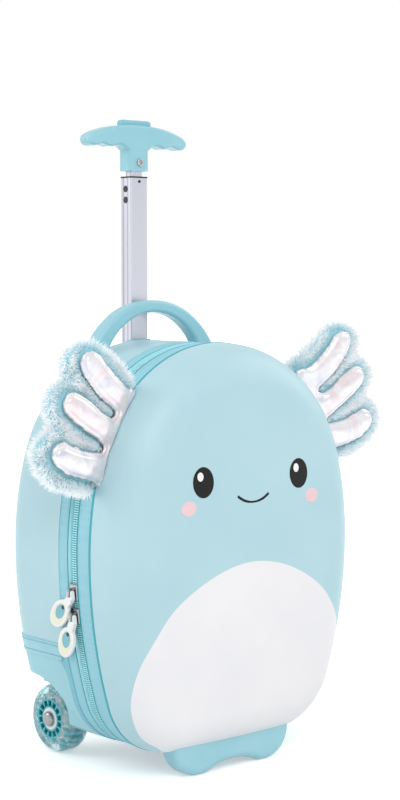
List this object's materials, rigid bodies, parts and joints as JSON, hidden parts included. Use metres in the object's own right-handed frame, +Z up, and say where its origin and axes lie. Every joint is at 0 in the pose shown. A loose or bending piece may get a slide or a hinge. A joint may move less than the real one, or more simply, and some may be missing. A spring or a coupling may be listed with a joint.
{
  "type": "pull-along suitcase",
  "caption": "Egg-shaped child's pull-along case with a zip-round lid on a fabric hinge, plush side fins, rear wheels, a front foot, a carry handle and a telescopic T-handle.",
  "frame": {"origin": "on the floor, under the middle of the whole part", "axes": "+X to the right seen from the front, +Y to the rear, +Z up"},
  "size_m": [0.45, 0.224, 0.633],
  "materials": {
    "shell_film": "smooth matte film on a moulded shell",
    "band_fabric": "woven polyester",
    "zip_tape": "woven tape with a nylon coil",
    "lining_fabric": "thin woven lining",
    "base_plastic": "moulded, matt",
    "steel": "zinc plated",
    "chrome": "polished",
    "tube_aluminium": "satin anodised",
    "guide_aluminium": "mill finish",
    "black_plastic": "moulded, matt",
    "white_plastic": "moulded",
    "grip_plastic": "moulded, satin",
    "belly_film": "smooth matte film",
    "fur": "plush",
    "foil_fabric": "pearl foil fabric, padded",
    "clear_tyre": "clear soft polyurethane",
    "hub_plastic": "moulded",
    "tag_rubber": "moulded soft tag",
    "inlay_plastic": "moulded inlay"
  },
  "bodies": {
    "case": {"rear_shell": "shell_film", "rear_band": "band_fabric", "rear_zip_tape": "zip_tape", "rear_lining": "lining_fabric", "wheel_base": "base_plastic", "base_screws": "steel", "left_axle_bolt": "chrome", "right_axle_bolt": "chrome", "axle_nuts": "steel", "pole_guide_tube": "guide_aluminium", "pole_collar": "base_plastic", "pole_foot": "black_plastic", "pole_foot_screws": "steel", "pole_cover": "lining_fabric", "carry_handle": "grip_plastic", "handle_anchors": "steel", "handle_screws": "steel", "hinge_strip": "band_fabric"},
    "lid": {"front_dome": "shell_film", "belly_panel": "belly_film", "piping": "band_fabric", "front_band": "band_fabric", "front_zip_tape": "zip_tape", "front_lining": "lining_fabric", "front_foot": "base_plastic", "foot_screws": "steel", "left_fin_fur": "fur", "left_fin_foil": "foil_fabric", "right_fin_fur": "fur", "right_fin_foil": "foil_fabric"},
    "left_wheel": {"left_tyre": "clear_tyre", "left_hub": "hub_plastic", "left_bushes": "white_plastic"},
    "right_wheel": {"right_tyre": "clear_tyre", "right_hub": "hub_plastic", "right_bushes": "white_plastic"},
    "mid_stage": {"mid_tube": "tube_aluminium", "mid_collar": "black_plastic", "mid_plug": "black_plastic"},
    "inner_stage": {"inner_tube": "tube_aluminium", "inner_plug": "black_plastic", "grip": "grip_plastic", "grip_screw": "steel", "button_spring": "steel"},
    "button": {"button": "grip_plastic", "release_rod": "steel"},
    "lock_pin": {"lock_pin": "steel"},
    "upper_slider": {"upper_slider": "chrome"},
    "lower_slider": {"lower_slider": "chrome"},
    "upper_pull": {"upper_pull": "tag_rubber", "upper_pull_inlay": "inlay_plastic"},
    "lower_pull": {"lower_pull": "tag_rubber", "lower_pull_inlay": "inlay_plastic"}
  },
  "joints": [
    {"name": "lid_hinge", "type": "hinge", "parent": "case", "child": "lid", "pos_m": [0.155, -0.02945, 0.21672], "axis": [0, 0, 1], "range_deg": [0, 110], "deforming": ["hinge_strip"]},
    {"name": "left_wheel_spin", "type": "hinge", "parent": "case", "child": "left_wheel", "pos_m": [-0.088, 0.078, 0.034], "axis": [1, 0, 0], "continuous": true},
    {"name": "right_wheel_spin", "type": "hinge", "parent": "case", "child": "right_wheel", "pos_m": [0.088, 0.078, 0.034], "axis": [1, 0, 0], "continuous": true},
    {"name": "mid_slide", "type": "slide", "parent": "case", "child": "mid_stage", "axis": [0, 0, 1], "range_m": [-0.155, 0]},
    {"name": "inner_slide", "type": "slide", "parent": "mid_stage", "child": "inner_stage", "axis": [0, 0, 1], "range_m": [-0.005, 0.155]},
    {"name": "button_press", "type": "slide", "parent": "inner_stage", "child": "button", "axis": [0, 0, -1], "range_m": [0, 0.004], "stiffness_N_per_m": 300, "springref_m": -0.004, "deforming": ["button_spring"]},
    {"name": "pin_draw", "type": "slide", "parent": "inner_stage", "child": "lock_pin", "axis": [-1, 0, 0], "range_m": [0, 0.0016]},
    {"name": "upper_slider_run", "type": "hinge", "parent": "case", "child": "upper_slider", "pos_m": [0.325, -0.02945, 0.21672], "axis": [0, 1, 0], "range_deg": [0, 9]},
    {"name": "lower_slider_run", "type": "hinge", "parent": "case", "child": "lower_slider", "pos_m": [0.325, -0.02945, 0.21672], "axis": [0, 1, 0], "range_deg": [-9, 0]},
    {"name": "upper_pull_swing", "type": "hinge", "parent": "upper_slider", "child": "upper_pull", "pos_m": [-0.15669, -0.02945, 0.18252], "axis": [0, 1, 0], "range_deg": [0, 110]},
    {"name": "lower_pull_swing", "type": "hinge", "parent": "lower_slider", "child": "lower_pull", "pos_m": [-0.15448, -0.02945, 0.15938], "axis": [0, 1, 0], "range_deg": [0, 110]}
  ],
  "couplings": [
    {"joint": "pin_draw", "follows": "button_press", "ratio": 0.4}
  ]
}
